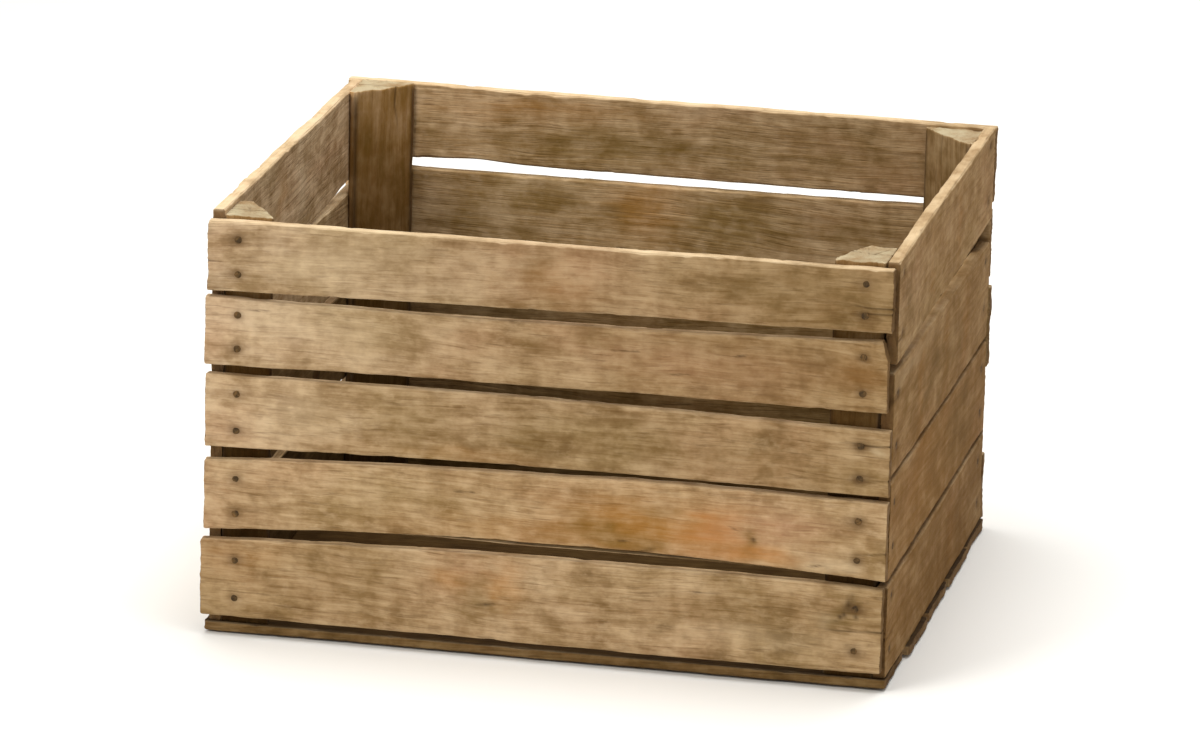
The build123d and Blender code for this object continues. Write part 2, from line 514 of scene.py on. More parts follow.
def nail_heads(wall):
    """The middle of the outermost face of each nail's head in a wall."""
    points = node_points(f"nails_{wall}")
    depth = points @ np.array(OUTWARDS[wall], float)
    rims = list(points[depth > depth.max() - HEAD_BAND])
    heads = []
    while rims:
        first = rims[0]
        near = [p for p in rims if np.linalg.norm(p - first) < HEAD_REACH]
        rims = [p for p in rims if np.linalg.norm(p - first) >= HEAD_REACH]
        heads.append((np.min(near, axis=0) + np.max(near, axis=0)) / 2)
    return heads


WALL_NAILS = {wall: nail_heads(wall) for wall in OUTWARDS}

# ---- The skin of a piece ----

EDGE_STEPS = np.array([0, 0.35, 0.8, 1.4, 2.2]) * MM  # rows of points, crowded near an edge
END_STEPS = np.array([0, 0.4, 0.9, 1.7, 2.8, 4.4]) * MM
ACROSS_STEP = 0.9 * MM
ALONG_STEP = 2.8 * MM
# Rings that close an end, as shares of the way to its middle.
CAP_SHARES = np.array([0.08, 0.2, 0.36, 0.55, 0.78])
CAP_DEPTH = 4 * MM  # the edge distance that such a ring would gain over the whole way
HEART_DEPTH = 8 * MM  # the edge distance of an end's middle
NORMAL_TURN = 1.4 * MM  # how far from a long edge the normals start to turn round it


class Skin(NamedTuple):
    """A piece's points in its own axes, with what is known about each. One value per point throughout."""

    points: np.ndarray  # along, across, outwards
    normals: np.ndarray
    inwards: np.ndarray  # from the nearest long edge towards the piece's heart, in across and outwards
    edge: np.ndarray  # distance to the nearest long edge
    tip: np.ndarray  # distance to the nearest end
    end: np.ndarray  # 1 on an end face, 0 elsewhere
    faces: list


def graded(length, near, step):
    """Places from 0 to length: crowded at both ends, and a step apart between."""
    least_length = 2.4 * near[-1]
    near = near * min(1, length / least_length)
    count = max(1, round((length - 2 * near[-1]) / step))
    between = np.linspace(near[-1], length - near[-1], count + 1)
    return np.concatenate([near[:-1], between, length - near[-2::-1]])


def outline_points(place):
    """The two outlines as matching loops of points, and the normal, inward pull and edge distance at each."""
    low, high = place.low_outline, place.high_outline
    mean = (low + high) / 2
    count = len(mean)
    sides = np.roll(mean, -1, axis=0) - mean
    lengths = np.linalg.norm(sides, axis=1)
    side_normals = np.stack([sides[:, 1], -sides[:, 0]], axis=1) / lengths[:, None]
    corner_normals = side_normals + np.roll(side_normals, 1, axis=0)
    corner_normals /= np.linalg.norm(corner_normals, axis=1)[:, None]
    loops, normals, inwards, edges = [[], []], [], [], []
    for this in range(count):
        after = (this + 1) % count
        for distance in graded(lengths[this], EDGE_STEPS, ACROSS_STEP)[:-1]:
            share = distance / lengths[this]
            for loop, outline in zip(loops, (low, high)):
                loop.append(outline[this] * (1 - share) + outline[after] * share)
            edge = min(distance, lengths[this] - distance)
            corner = corner_normals[this if share < 0.5 else after]
            turn = max(0, 1 - edge / NORMAL_TURN)
            normal = side_normals[this] * (1 - turn) + corner * turn
            normals.append(normal / np.linalg.norm(normal))
            inwards.append(-corner)
            edges.append(edge)
    return np.array(loops[0]), np.array(loops[1]), np.array(normals), np.array(inwards), np.array(edges)


def ring_faces(first, second, size):
    """Four-sided faces between two rings of points that follow one another round."""
    here = np.arange(size)
    there = (here + 1) % size
    return np.stack([first + here, first + there, second + there, second + here], axis=1).tolist()


def make_skin(place):
    low_loop, high_loop, normals, inwards, edges = outline_points(place)
    size = len(edges)
    stations = graded(2 * place.half_length, END_STEPS, ALONG_STEP)
    shares = (stations / (2 * place.half_length))[:, None, None]
    section = low_loop * (1 - shares) + high_loop * shares
    across = section[:, :, 0]
    from_low = (across - across.min(axis=1)[:, None]) / np.ptp(across, axis=1)[:, None]
    rise = place.rises[0] * (1 - from_low) + place.rises[1] * from_low
    section[:, :, 0] += rise * 4 * (shares * (1 - shares))[:, :, 0]
    along = np.repeat(stations - place.half_length, size)
    points = [np.column_stack([along, section.reshape(-1, 2)])]
    point_normals = [np.column_stack([np.zeros(len(along)), np.tile(normals, (len(stations), 1))])]
    pulls = [np.tile(inwards, (len(stations), 1))]
    edge = [np.tile(edges, len(stations))]
    tip = [np.minimum(along + place.half_length, place.half_length - along)]
    end = [np.where(tip[0] < END_STEPS[1] / 2, 1.0, 0.0)]
    faces = []
    for row in range(len(stations) - 1):
        faces += ring_faces(row * size, (row + 1) * size, size)
    total = len(along)
    for side, loop, rim in ((LOW, low_loop, 0), (HIGH, high_loop, (len(stations) - 1) * size)):
        heart = loop.mean(axis=0)
        before = rim
        caps = []
        for share in CAP_SHARES:
            ring = heart + (loop - heart) * (1 - share)
            points.append(np.column_stack([np.full(size, side * place.half_length), ring]))
            edge.append(edges + share * CAP_DEPTH)
            caps += ring_faces(before, total, size)
            before = total
            total += size
        points.append(np.array([[side * place.half_length, *heart]]))
        edge.append(np.array([HEART_DEPTH]))
        caps += [[before + here, before + (here + 1) % size, total] for here in range(size)]
        faces += caps if side == HIGH else [face[::-1] for face in caps]
        total += 1
        added = size * len(CAP_SHARES) + 1
        point_normals.append(np.tile([side, 0.0, 0.0], (added, 1)))
        pulls.append(np.zeros((added, 2)))
        tip.append(np.zeros(added))
        end.append(np.ones(added))
    return Skin(*(np.concatenate(part) for part in (points, point_normals, pulls, edge, tip, end)), faces)


# ---- Wear ----

EDGE_WEAR = 1.5 * MM  # how far from an edge the rounding starts, on average
CORNER_PULL = 0.6  # how deep the rounding goes, as a share of where it starts
TIP_WEAR = 1.1 * MM  # how far from an end its rounding starts
TIP_PULL = 0.35 * TIP_WEAR  # how deep that rounding goes
ROUGH_REACH = 9 * MM  # how far in from an end its roughness moves the points
BREAK_REACH = 14 * MM  # the same for a corner that has split off
SPLIT_WIDTH = 0.55 * MM
SPLIT_WANDER = 1.2 * MM
CRACK_DEPTH = 0.7 * MM
CRACK_WANDER = 0.5 * MM
DENT_RADIUS = 3.9 * MM
DENT_DEPTH = 1.0 * MM
RUST_REACH = 4.2 * MM  # from a nail's middle
RUST_STRETCH = 1.9  # how much farther rust has run along the grain than across it


class Split(NamedTuple):
    """A drying split that runs in from an end of a piece."""

    end: int
    across: float
    length: float
    depth: float


def hill(x):
    """1 at 0, falling smoothly to nothing beyond about 2."""
    return np.exp(-x * x)


def ramp(x, low, high):
    """0 up to low, 1 from high on, smooth between."""
    t = np.clip((x - low) / (high - low), 0, 1)
    return t * t * (3 - 2 * t)


def three_way(values, share):
    """Values given at the low end, middle and high end, read at a share from -1 to 1 of the way."""
    return np.interp(share, [-1, 0, 1], values)


def random_splits(draw, half_width):
    """A few splits in each end."""
    splits = []
    for end in (LOW, HIGH):
        for _ in range(draw.integers(0, 3)):
            across = draw.uniform(-0.8, 0.8) * half_width
            splits.append(Split(end, across, draw.uniform(14, 60) * MM, draw.uniform(0.3, 1.0) * MM))
    return splits


def split_depths(skin, splits, half_length, seed):
    """How deep the splits cut in at each point."""
    along, across, _ = skin.points.T
    depth = np.zeros(len(along))
    for number, split in enumerate(splits):
        inside = half_length - split.end * along
        wander = SPLIT_WANDER * noise(seed + number, inside / (14 * MM))
        taper = 1 - ramp(inside, 0.25 * split.length, split.length)
        depth += split.depth * taper * hill((across - split.across - wander) / SPLIT_WIDTH)
    return depth


def wear_edges(skin, seed):
    """Rounds the long edges and the ends, unevenly, and returns how worn each point is."""
    points = skin.points
    along, across, out = points.T
    which = np.sign(across) * 2 + np.sign(out)  # differs from one long edge to the next
    slow = noise(seed + 11, along / (38 * MM), which * 7.3)
    quick = noise(seed + 12, along / (7 * MM), which * 5.1)
    chips = ramp(noise(seed + 13, along / (11 * MM), which * 3.7), 0.55, 0.9)
    start = EDGE_WEAR * (1 + 0.55 * slow + 0.25 * quick + 1.3 * chips)
    depth = start * CORNER_PULL * np.clip(1 - skin.edge / start, 0, 1) ** 2
    points[:, 1:] += skin.inwards * depth[:, None]
    tip_depth = TIP_PULL * np.clip(1 - skin.tip / TIP_WEAR, 0, 1) ** 2
    points[:, 1:] -= skin.normals[:, 1:] * tip_depth[:, None]
    rough_end = 0.35 * MM * noise(seed + 14, across / (1.6 * MM), out / (1.6 * MM))
    rough_end += 0.7 * MM * noise(seed + 15, across / (13 * MM), out / (9 * MM))
    points[:, 0] += rough_end * np.sign(along) * (1 - ramp(skin.tip, 0, ROUGH_REACH))
    return np.clip(1 - skin.edge / (1.1 * start), 0, 1)


def break_corners(skin, place, look):
    """Pulls back the corners that have split off."""
    along, across, _ = skin.points.T
    for gone in look.breaks:
        outline = place.high_outline if gone.end == HIGH else place.low_outline
        edge_at = np.max(outline[:, 0]) if gone.edge == HIGH else np.min(outline[:, 0])
        from_edge = (edge_at - across) * gone.edge
        lost = gone.along * MM * np.clip(1 - from_edge / (gone.across * MM), 0, 1)
        skin.points[:, 0] -= gone.end * lost * (1 - ramp(skin.tip, 0, BREAK_REACH)) * (along * gone.end > 0)


def crack_levels(skin, look, seed):
    """How deep in one of its cracks each point is, from 0 to 1."""
    along, across, _ = skin.points.T
    level = np.zeros(len(along))
    for crack in look.cracks:
        start = np.array([crack.along - crack.reach_along, crack.across - crack.reach_across]) * MM
        way = 2 * np.array([crack.reach_along, crack.reach_across]) * MM
        offset = np.column_stack([along, across]) - start
        share = np.clip(offset @ way / (way @ way), 0, 1)
        ragged = CRACK_WANDER * noise(seed + 61, along / (2.2 * MM), across / (2.2 * MM))
        distance = np.linalg.norm(offset - share[:, None] * way, axis=1) + ragged
        level += hill(np.maximum(distance, 0) / (crack.width * MM)) * (1 - 0.6 * np.abs(2 * share - 1))
    return np.clip(level, 0, 1)


def bite_edges(skin, look, half_width):
    """Presses the notches into the long edges and returns how deep in a notch each point is."""
    along, across, _ = skin.points.T
    bitten = np.zeros(len(along))
    for notch in look.notches:
        near = hill((along - notch.along * MM) / (notch.length * MM / 2))
        side = ramp(across * notch.edge / half_width, 0.55, 1.0)
        skin.points[:, 1] -= notch.edge * notch.depth * MM * near * side
        bitten += near * ramp(across * notch.edge / half_width, 0.85, 1.0)
    return np.clip(bitten, 0, 1)


def warp_board(skin, place, look, seed, half_width):
    """Saw wander along the edges, and a slight bow, cup and twist."""
    draw = np.random.default_rng(seed + 1)
    points = skin.points
    along, across, _ = points.T
    half = place.half_length
    upper = across > 0
    wander = 0.7 * MM * noise(seed + 21, along / (70 * MM), np.where(upper, 3.3, 9.7))
    wander += 0.25 * MM * noise(seed + 22, along / (16 * MM), np.where(upper, 4.1, 8.2))
    points[:, 1] += wander * across / half_width
    share = along / half
    bow = draw.uniform(-0.9, 1.3) * MM * (1 - share**2)
    cup = draw.uniform(-0.35, 0.35) * MM * (across / half_width) ** 2
    twist = draw.uniform(-0.4, 0.4) * MM * share * across / half_width
    lift = MM * (look.lift[0] * ramp(-share, 0.3, 1) + look.lift[1] * ramp(share, 0.3, 1))
    points[:, 2] += bow + cup + twist + lift


def raise_grain(grain, seed):
    """Ridges that run with the grain, where the soft wood has weathered away."""
    along, across, out = grain.T
    broad = noise(seed + 31, along / (95 * MM), across / (7 * MM), out / (7 * MM))
    fine = noise(seed + 32, along / (42 * MM), across / (2.3 * MM), out / (2.3 * MM))
    return 0.16 * MM * broad + 0.13 * MM * fine


def raise_knots(knot):
    """Knots stand proud, with a groove round each. Knot is the distance to the nearest, in its radii."""
    return 0.3 * MM * (ramp(-knot, -1.3, -0.9) - 1.6 * hill((knot - 1.1) / 0.12))


# ---- Wooden pieces ----

GRAIN_OFFSET = 3.0  # keeps one piece's grain well away from the next one's
KNOT_STRETCH = 1.7  # how much longer a knot is along the grain than across it
KNOT_RANGE = 3.0  # a knot's distance is kept up to this many of its radii
SHADE_RANGE = 2.0  # no shade is above this
POST_EDGE_SHADE_REACH = 2.4 * MM  # from a post's long edges: how far the painted shade along them reaches


def grain_of(skin, look, seed):
    """Each point's place in its log, whose grain flows round knots, and how far it is from a knot."""
    draw = np.random.default_rng(seed + 2)
    grain = skin.points.copy()
    nearest = np.full(len(grain), KNOT_RANGE)
    for knot in look.knots:
        radius = knot.radius * MM
        along = (skin.points[:, 0] - knot.along * MM) / KNOT_STRETCH
        across = skin.points[:, 1] - knot.across * MM
        squared = along**2 + across**2
        flow = radius**2 / np.maximum(squared, radius**2) * hill(np.sqrt(squared) / (7 * radius))
        grain[:, 1] -= across * flow
        nearest = np.minimum(nearest, np.sqrt(squared) / radius)
    pith_across = draw.uniform(-22, 22) * MM
    pith_out = draw.choice([-1, 1]) * draw.uniform(18, 60) * MM
    slope_across, slope_out = draw.uniform(-0.03, 0.03), draw.uniform(-0.045, 0.045)
    sway = 3.5 * MM * noise(seed + 41, grain[:, 0] / (150 * MM))
    sway += 1.1 * MM * noise(seed + 42, grain[:, 0] / (34 * MM), grain[:, 1] / (16 * MM))
    grain[:, 1] += pith_across + slope_across * grain[:, 0] + sway
    grain[:, 2] += pith_out + slope_out * grain[:, 0]
    grain[:, 0] += GRAIN_OFFSET * (seed % 97) / 97
    return grain, nearest


def stain_levels(skin, look, seed):
    """How strong each kind of stain is at each point, in the order of STAIN_KINDS."""
    levels = np.zeros((len(skin.points), len(STAIN_KINDS)))
    along, across, _ = skin.points.T
    for stain in look.stains:
        ragged_along = along + 9 * MM * noise(seed + 51, along / (14 * MM), across / (6 * MM))
        ragged_across = across + 3 * MM * noise(seed + 52, along / (22 * MM), across / (5 * MM))
        reach = np.hypot(
            (ragged_along - stain.along * MM) / (stain.length * MM),
            (ragged_across - stain.across * MM) / (stain.width * MM),
        )
        levels[:, STAIN_KINDS.index(stain.kind)] += stain.strength * hill(reach)
    return np.clip(levels, 0, 1)


def nail_marks(skin, place, wall, seed):
    """How deep each point of a board is pressed in round the nails, and how much rust has reached it."""
    draw = np.random.default_rng(seed + 4)
    dents = np.zeros(len(skin.points))
    rust = np.zeros(len(skin.points))
    for head in WALL_NAILS[wall]:
        along, across, out = place.axes @ (head - place.middle)
        outline = place.low_outline if along < 0 else place.high_outline
        if not outline[:, 0].min() < across < outline[:, 0].max() or abs(along) > place.half_length:
            continue
        if abs(out) > np.abs(outline[:, 1]).max() + MM:
            continue
        offset = skin.points[:, :2] - [along, across]
        distance = np.linalg.norm(offset, axis=1)
        outer = skin.points[:, 2] > 0
        dents += DENT_DEPTH * hill(distance / DENT_RADIUS) * outer
        halo = np.hypot(offset[:, 0] / RUST_STRETCH, offset[:, 1]) / RUST_REACH
        spread = 0.55 * hill(distance / RUST_REACH) + draw.uniform(0.1, 0.6) * hill(halo)
        rust += spread * np.where(outer, 1, 0.3)
    return dents, rust


def set_attribute(mesh, name, kind, values):
    """Keeps a "color" or a "vector" for every point."""
    attribute = mesh.attributes.new(name, f"FLOAT_{kind.upper()}", "POINT")
    attribute.data.foreach_set(kind, np.ascontiguousarray(values, np.float32).ravel())


def add_piece(name, points, faces, material, node):
    """Makes a mesh object that stands for a CAD node."""
    mesh = bpy.data.meshes.new(name)
    mesh.from_pydata(points.tolist(), [], faces)
    mesh.materials.append(material)
    mesh.polygons.foreach_set("use_smooth", [True] * len(faces))
    mesh.update()
    piece = bpy.data.objects.new(name, mesh)
    bpy.context.scene.collection.objects.link(piece)
    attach(piece, "root")
    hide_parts(node)
    return piece


def add_timber(node, wall, material):
    """One board, or one post, whose wall is None: its skin, wear, and the attributes its material reads."""
    seed = seed_of(node)
    place = place_of(node)
    look = LOOKS[node]
    skin = make_skin(place)
    half_width = np.abs(place.low_outline[:, 0]).max()
    grain, knot = grain_of(skin, look, seed)
    # Painted shade: inner faces are painted darker and olive, most low in the crate and on the bottom, where
    # the inside lies in shade.
    inner = ramp(-skin.normals[:, 2], 0.3, 0.8) * (1 - look.inside)
    inner_shade_channel = STAIN_KINDS.index("olive")
    stains = stain_levels(skin, look, seed)
    stains[:, inner_shade_channel] = np.clip(stains[:, inner_shade_channel] + inner, 0, 1)

    cracked = crack_levels(skin, look, seed) * (skin.normals[:, 2] > 0.5)
    drawn_splits = random_splits(np.random.default_rng(seed + 3), half_width)
    splits = split_depths(skin, drawn_splits, place.half_length, seed)
    relief = raise_grain(grain, seed) + raise_knots(knot) - CRACK_DEPTH * cracked - splits
    if wall is None:
        rust = np.zeros(len(knot))
        # Painted shade: dark lines along a post's long edges, for the shade in the gaps where it meets the
        # boards.
        post_edge_shade = 0.8 * hill(skin.edge / POST_EDGE_SHADE_REACH) * (1 - skin.end) * ramp(skin.tip, MM, 6 * MM)
    else:
        dents, rust = nail_marks(skin, place, wall, seed)
        relief -= dents
        warp_board(skin, place, look, seed, half_width)
        post_edge_shade = 0
    # Painted highlight, partly: a wall board's upper edge is painted pale like its worn edges, where the top
    # light falls on it.
    top_edge_wear_and_highlight = ramp(skin.normals[:, 1], 0.5, 0.9) if wall not in (None, "bottom") else 0
    worn = np.maximum(wear_edges(skin, seed), 0.85 * top_edge_wear_and_highlight)
    bitten = bite_edges(skin, look, half_width)
    break_corners(skin, place, look)
    skin.points[:] += skin.normals * relief[:, None]

    world = place.middle + skin.points @ place.axes
    mirrored = np.linalg.det(place.axes) < 0
    faces = [face[::-1] for face in skin.faces] if mirrored else skin.faces
    mesh = add_piece(f"{node}_wood", world, faces, material, node).data
    dark = np.clip(splits / (1.3 * MM) + 0.8 * bitten + post_edge_shade + 0.9 * cracked, 0, 1)
    share = np.clip(skin.points[:, 0] / place.half_length, -1, 1)
    shade = three_way(look.shade, share) * (1 - inner) / SHADE_RANGE
    grey = three_way(look.grey, share)
    own = np.full(len(share), (seed % 1000) / 1000)
    marks = [dark, np.clip(rust, 0, 1), worn * look.rim, knot / KNOT_RANGE]
    set_attribute(mesh, "grain", "vector", grain)
    set_attribute(mesh, "marks", "color", np.column_stack(marks))
    set_attribute(mesh, "stains", "color", stains)
    set_attribute(mesh, "tone", "color", np.column_stack([shade, grey, skin.end, own]))


# ---- Nails ----

NAIL_SIDES = 18
HEAD_DEPTH = 1.5 * MM  # deeper than this a nail is its straight shank
NAIL_LEAN = 0.05  # the most that a nail leans, in radians
# A nail from its tip's point to the middle of its domed head, as radius and height above the head's top.
NAIL_PROFILE = MM * np.array(
    [[0.0, -32.0], [0.35, -30.6], [1.0, -28.6], [1.1, -27.8]]
    + [[1.1, -12.0], [1.12, -1.6]]
    + [[1.35, -1.05], [2.2, -0.95], [2.5, -0.8], [2.62, -0.5], [2.55, -0.2], [2.3, 0.0]]
    + [[1.6, 0.12], [0.8, 0.16], [0.0, 0.17]]
)


def nail_shape(draw, outwards):
    """One nail's points about its head's place: a head that isn't quite round, a little crooked."""
    turns = np.arange(NAIL_SIDES) / NAIL_SIDES * 2 * math.pi
    lobes = draw.uniform(-0.05, 0.05, 3)
    uneven = 1 + sum(size * np.cos(turns * (n + 2) + draw.uniform(0, 6)) for n, size in enumerate(lobes))
    points = [[0, 0, NAIL_PROFILE[0, 1]]]
    for radius, height in NAIL_PROFILE[1:-1]:
        in_head = height > -HEAD_DEPTH
        spread = radius * (uneven if in_head else 1)
        tilt = draw.uniform(-0.03, 0.03) * MM if in_head else 0
        heights = height + tilt * np.cos(turns)
        points += np.column_stack([spread * np.cos(turns), spread * np.sin(turns), heights]).tolist()
    points.append([0, 0, NAIL_PROFILE[-1, 1]])
    turn = Vector(outwards).to_track_quat("Z", "Y").to_matrix()
    lean_x, lean_y = (Matrix.Rotation(draw.uniform(-NAIL_LEAN, NAIL_LEAN), 3, axis) for axis in "XY")
    return np.array(points) @ np.array(turn @ (lean_x @ lean_y)).T


def nail_faces(first):
    """The faces of the nail whose points start at first."""
    rings = len(NAIL_PROFILE) - 2
    top = first + 1 + (rings - 1) * NAIL_SIDES
    faces = []
    for side in range(NAIL_SIDES):
        after = (side + 1) % NAIL_SIDES
        faces.append([first, first + 1 + after, first + 1 + side])
        faces.append([top + side, top + after, top + NAIL_SIDES])
    for low in range(first + 1, top, NAIL_SIDES):
        faces += ring_faces(low, low + NAIL_SIDES, NAIL_SIDES)
    return faces


def add_nails(wall, material):
    draw = np.random.default_rng(seed_of("nails " + wall))
    points, faces = [], []
    for head in WALL_NAILS[wall]:
        faces += nail_faces(len(points))
        points += (nail_shape(draw, OUTWARDS[wall]) + head).tolist()
    add_piece(f"nails_{wall}_iron", np.array(points), faces, material, f"nails_{wall}")


# ---- Materials ----


def srgb(red, green, blue):
    """A colour given as it looks on a screen, from 0 to 255, as the renderer wants it."""
    shares = (level / 255 for level in (red, green, blue))
    return tuple(s / 12.92 if s < 0.04045 else ((s + 0.055) / 1.055) ** 2.4 for s in shares) + (1,)


class Graph:
    """A short way to write a material's nodes. Most methods return a socket."""

    def __init__(self, name):
        self.material = bpy.data.materials.new(name)
        self.material.use_nodes = True
        self.tree = self.material.node_tree
        self.tree.nodes.clear()

    def node(self, kind, *inputs, **settings):
        made = self.tree.nodes.new(kind)
        for key, value in settings.items():
            setattr(made, key, value)
        for socket, value in zip(made.inputs, inputs):
            self.feed(socket, value)
        return made

    def feed(self, socket, value):
        if value is None:
            return
        if isinstance(value, bpy.types.NodeSocket):
            self.tree.links.new(value, socket)
        else:
            socket.default_value = value

    def attribute(self, name):
        return self.node("ShaderNodeAttribute", attribute_name=name)

    def parts(self, color):
        """The red, green and blue of a colour."""
        return self.node("ShaderNodeSeparateColor", color).outputs

    def math(self, operation, a, b=None, c=None):
        return self.node("ShaderNodeMath", a, b, c, operation=operation).outputs[0]

    def weighted(self, *terms):
        """The sum of some values, each times its weight."""
        total = 0.0
        for value, weight in terms:
            total = self.math("MULTIPLY_ADD", value, weight, total)
        return total

    def level(self, value, low, high, to_low=0.0, to_high=1.0):
        """A value's range mapped onto another, and held inside it."""
        return self.node("ShaderNodeMapRange", value, low, high, to_low, to_high).outputs[0]

    def stretch(self, vector, scale):
        return self.node("ShaderNodeVectorMath", vector, scale, operation="MULTIPLY").outputs[0]

    def noise(self, vector, scale, detail=2.0, roughness=0.5):
        made = self.node("ShaderNodeTexNoise")
        self.feed(made.inputs["Vector"], self.stretch(vector, scale))
        made.inputs["Scale"].default_value = 1.0
        made.inputs["Detail"].default_value = detail
        made.inputs["Roughness"].default_value = roughness
        return made.outputs[0]

    def mix(self, share, a, b, blend="MIX"):
        made = self.node("ShaderNodeMix", data_type="RGBA", blend_type=blend)
        for index, value in ((0, share), (6, a), (7, b)):
            self.feed(made.inputs[index], value)
        return made.outputs[2]

    def ramp(self, value, *stops):
        made = self.node("ShaderNodeValToRGB", value)
        elements = made.color_ramp.elements
        while len(elements) < len(stops):
            elements.new(1.0)
        for element, (position, color) in zip(elements, stops):
            element.position = position
            element.color = color
        return made.outputs[0]

    def surface(self, color, roughness, height, distance, specular, metallic=0.0):
        bump = self.node("ShaderNodeBump")
        bump.inputs["Strength"].default_value = 1.0
        bump.inputs["Distance"].default_value = distance
        self.feed(bump.inputs["Height"], height)
        shader = self.node("ShaderNodeBsdfPrincipled")
        self.feed(shader.inputs["Base Color"], color)
        self.feed(shader.inputs["Roughness"], roughness)
        self.feed(shader.inputs["Metallic"], metallic)
        self.feed(shader.inputs["Specular IOR Level"], specular)
        self.feed(shader.inputs["Normal"], bump.outputs[0])
        output = self.node("ShaderNodeOutputMaterial")
        self.tree.links.new(shader.outputs[0], output.inputs[0])
        return self.material


BLACK = (0, 0, 0, 1)
DARK_GREY = (0.35, 0.35, 0.35, 1)
WHITE = (1, 1, 1, 1)
RINGS_PER_METRE = 300.0


def wood_patterns(g, grain):
    """The patterns of a piece of wood. Each is a value at every point."""
    across = g.stretch(grain, (0, 1, 1))
    from_heart = g.node("ShaderNodeVectorMath", across, operation="LENGTH").outputs["Value"]
    wobble = g.math("MULTIPLY", g.noise(grain, (7, 30, 30), 2.0), 0.012)
    turns = g.math("MULTIPLY", g.math("ADD", from_heart, wobble), RINGS_PER_METRE)
    ring = g.math("FRACT", turns)
    return SimpleNamespace(
        rings=g.ramp(ring, (0.0, BLACK), (0.6, DARK_GREY), (0.88, WHITE), (1.0, BLACK)),
        fibre=g.level(g.noise(grain, (26, 900, 900), 3.0, 0.6), 0.3, 0.7),  # hair-fine lines
        streak=g.level(g.noise(grain, (11, 230, 230), 3.0, 0.6), 0.32, 0.68),  # lines a few mm wide
        hair=g.noise(grain, (34, 480, 480), 2.0, 0.6),  # short dark lines
        band=g.level(g.noise(grain, (5, 60, 60), 2.0), 0.35, 0.65),  # broad lines
        sawn=g.level(g.noise(grain, (75, 8, 8), 2.0, 0.6), 0.3, 0.7),  # marks that the saw left
        mottle=g.noise(grain, (85, 150, 150), 3.0, 0.6),  # patches the size of a fingertip
        dirt=g.noise(grain, (30, 42, 42), 4.0, 0.62),  # patches the size of a thumb
        cloud=g.noise(grain, (9, 16, 16), 2.0),  # patches the size of a hand
    )


def wood_color(g, wood, grey):
    """Old sawn wood: silver-beige where it has bleached, browner and greener in patches."""
    pattern = g.weighted(
        (wood.rings, 0.13), (wood.fibre, 0.24), (wood.streak, 0.27), (wood.band, 0.14), (wood.sawn, 0.22)
    )
    color = g.ramp(
        pattern,
        (0.15, srgb(192, 162, 120)),
        (0.42, srgb(172, 141, 100)),
        (0.66, srgb(150, 118, 78)),
        (0.9, srgb(116, 85, 50)),
    )
    bleached = g.math("MULTIPLY", grey, g.level(wood.dirt, 0.3, 0.62, 1.3, 0.5))
    color = g.mix(bleached, color, g.mix(pattern, srgb(190, 168, 140), srgb(132, 110, 84)))
    for patches, none_at, most_at, most, tone in (
        (wood.cloud, 0.5, 0.72, 0.4, srgb(126, 103, 56)),
        (wood.cloud, 0.47, 0.3, 0.35, srgb(172, 132, 98)),
        (wood.dirt, 0.49, 0.72, 0.68, srgb(98, 72, 38)),
        (wood.dirt, 0.47, 0.28, 0.38, srgb(200, 172, 132)),
        (wood.mottle, 0.5, 0.7, 0.4, srgb(112, 84, 50)),
        (wood.mottle, 0.48, 0.3, 0.35, srgb(200, 172, 134)),
        (wood.hair, 0.58, 0.74, 0.45, srgb(90, 62, 32)),
    ):
        color = g.mix(g.level(patches, none_at, most_at, 0.0, most), color, tone)
    return color


def add_stains(g, color, wood, stains):
    orange_level, olive_level, pink_level = g.parts(stains.outputs["Color"])
    patchy = g.level(wood.dirt, 0.3, 0.65, 0.5, 1.1)
    ragged = g.math("MULTIPLY", patchy, g.level(wood.streak, 0, 1, 0.75, 1.15))
    for level, strength, stain in (
        (orange_level, 0.7, srgb(174, 114, 42)),
        (pink_level, 0.45, srgb(178, 128, 98)),
        (olive_level, 0.74, srgb(102, 76, 26)),
    ):
        color = g.mix(g.math("MULTIPLY", g.math("MULTIPLY", level, ragged), strength), color, stain)
    return g.mix(g.math("MULTIPLY", stains.outputs["Alpha"], 0.6), color, srgb(210, 188, 152))


def add_knots(g, color, wood, knot):
    """Knots: a soft dark rim round turned wood."""
    uneven = g.math("ADD", knot, g.level(wood.dirt, 0.3, 0.7, -0.35, 0.35))
    wave = g.math("SINE", g.math("MULTIPLY", uneven, 19.0))
    heart = g.mix(g.level(wave, -1, 1), srgb(82, 54, 26), srgb(106, 74, 40))
    color = g.mix(g.level(uneven, 1.3, 0.6, 0.0, 0.85), color, heart)
    rim = g.math("MULTIPLY", g.level(uneven, 1.7, 1.1), g.level(uneven, 0.7, 1.05))
    return g.mix(g.math("MULTIPLY", rim, 0.65), color, srgb(72, 48, 22))


